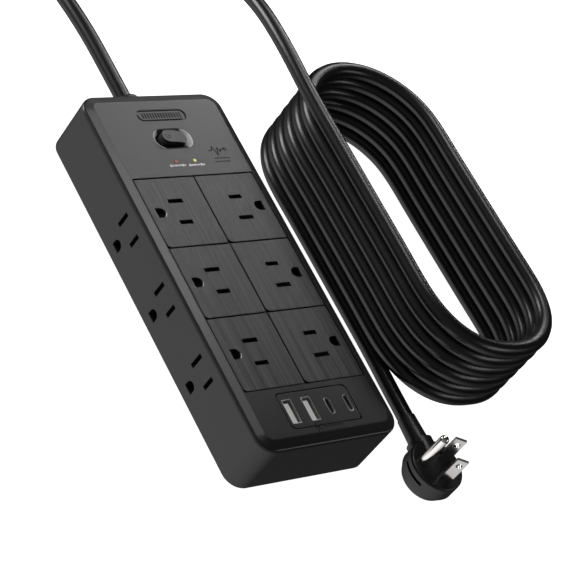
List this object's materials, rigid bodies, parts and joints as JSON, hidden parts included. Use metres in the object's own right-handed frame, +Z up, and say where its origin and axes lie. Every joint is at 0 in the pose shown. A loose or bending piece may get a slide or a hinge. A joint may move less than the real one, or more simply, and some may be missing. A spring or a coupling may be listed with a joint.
{
  "type": "surge protector power strip",
  "caption": "Flat surge protector strip with outlets on its face and both long sides, rocker switch, USB ports, coiled cord and flat plug.",
  "frame": {"origin": "bottom centre of the strip without its cord, on the plane its feet stand on", "axes": "+Y along the strip towards the cord, +Z up out of the outlet face, +X towards the coil"},
  "size_m": [0.2142, 0.4436, 0.059],
  "materials": {
    "cover_shell": "satin charcoal moulding",
    "case_shell": "fine spark-eroded charcoal moulding",
    "screw_steel": "zinc plated",
    "insulator": "black heat-resistant moulding",
    "contact_brass": "pressed strip, bright",
    "cord_jacket": "satin black jacket",
    "black_moulding": "black moulding",
    "capacitor_yellow": "yellow box capacitor",
    "wire_green": "green wire",
    "lens_red": "translucent red light pipe",
    "led_clear": "clear lamp",
    "wire_black": "black wire",
    "wire_white": "white wire",
    "brushed_face": "charcoal with brushed lines along the length",
    "plug_moulding": "satin black moulding",
    "pin_nickel": "nickel-plated brass",
    "lens_green": "translucent yellow-green light pipe",
    "label_film": "blank silver-grey film",
    "rocker_gloss": "black, slightly glossy",
    "spring_steel": "bright drawn wire",
    "foot_rubber": "dull black rubber",
    "board_laminate": "green circuit board",
    "switch_tub": "light scooped ends round a black opening",
    "fuse_sleeve": "white ceramic body",
    "port_metal": "nickel-plated sleeve",
    "port_white": "white contact tongue",
    "port_black": "black contact tongue",
    "can_aluminium": "sleeved can",
    "transformer_tape": "yellow tape over a dark core",
    "varistor_coat": "blue dipped coating"
  },
  "bodies": {
    "strip": {"badge_plate": "cover_shell", "base_case": "case_shell", "case_screws": "screw_steel", "clamp_screws": "screw_steel", "contact_carrier_left": "insulator", "contact_carrier_right": "insulator", "cord_clamp": "insulator", "cord_coil": "cord_jacket", "cord_feed": "cord_jacket", "cord_gland": "black_moulding", "cord_tail": "cord_jacket", "filter_capacitor": "capacitor_yellow", "ground_bus_left": "contact_brass", "ground_bus_right": "contact_brass", "ground_wire": "wire_green", "grounded_lens": "lens_red", "indicator_leds": "led_clear", "live_bus_left": "contact_brass", "live_bus_right": "contact_brass", "live_wire": "wire_black", "neutral_bus_left": "contact_brass", "neutral_bus_right": "contact_brass", "neutral_wire": "wire_white", "outlet_tile_1": "brushed_face", "outlet_tile_2": "brushed_face", "outlet_tile_3": "brushed_face", "outlet_tile_4": "brushed_face", "outlet_tile_5": "brushed_face", "outlet_tile_6": "brushed_face", "plug_body": "plug_moulding", "plug_ground_pin": "pin_nickel", "plug_live_blade": "pin_nickel", "plug_neutral_blade": "pin_nickel", "plug_strain_relief": "plug_moulding", "protected_lens": "lens_green", "rating_label": "label_film", "rubber_feet": "foot_rubber", "surge_board": "board_laminate", "switch_frame": "switch_tub", "switch_terminals": "contact_brass", "thermal_fuse": "fuse_sleeve", "top_cover": "cover_shell", "usb_a_shell_1": "port_metal", "usb_a_shell_2": "port_metal", "usb_a_tongue_1": "port_white", "usb_a_tongue_2": "port_white", "usb_board": "board_laminate", "usb_c_shell_1": "port_metal", "usb_c_shell_2": "port_metal", "usb_c_tongue_1": "port_black", "usb_c_tongue_2": "port_black", "usb_capacitors": "can_aluminium", "usb_panel": "cover_shell", "usb_transformer": "transformer_tape", "varistors": "varistor_coat"},
    "rocker": {"rocker_button": "rocker_gloss", "rocker_plunger": "insulator", "rocker_spring": "spring_steel"},
    "seesaw": {"contact_seesaw": "contact_brass"}
  },
  "joints": [
    {"name": "power_rocker", "type": "hinge", "parent": "strip", "child": "rocker", "pos_m": [-0.001, 0.0745, 0.028], "axis": [0, 1, 0], "range_deg": [-16, 0]},
    {"name": "seesaw_tilt", "type": "hinge", "parent": "strip", "child": "seesaw", "pos_m": [-0.001, 0.0745, 0.0176], "axis": [0, 1, 0], "range_deg": [0, 10]}
  ],
  "couplings": [
    {"joint": "seesaw_tilt", "follows": "power_rocker", "ratio": -0.6}
  ]
}
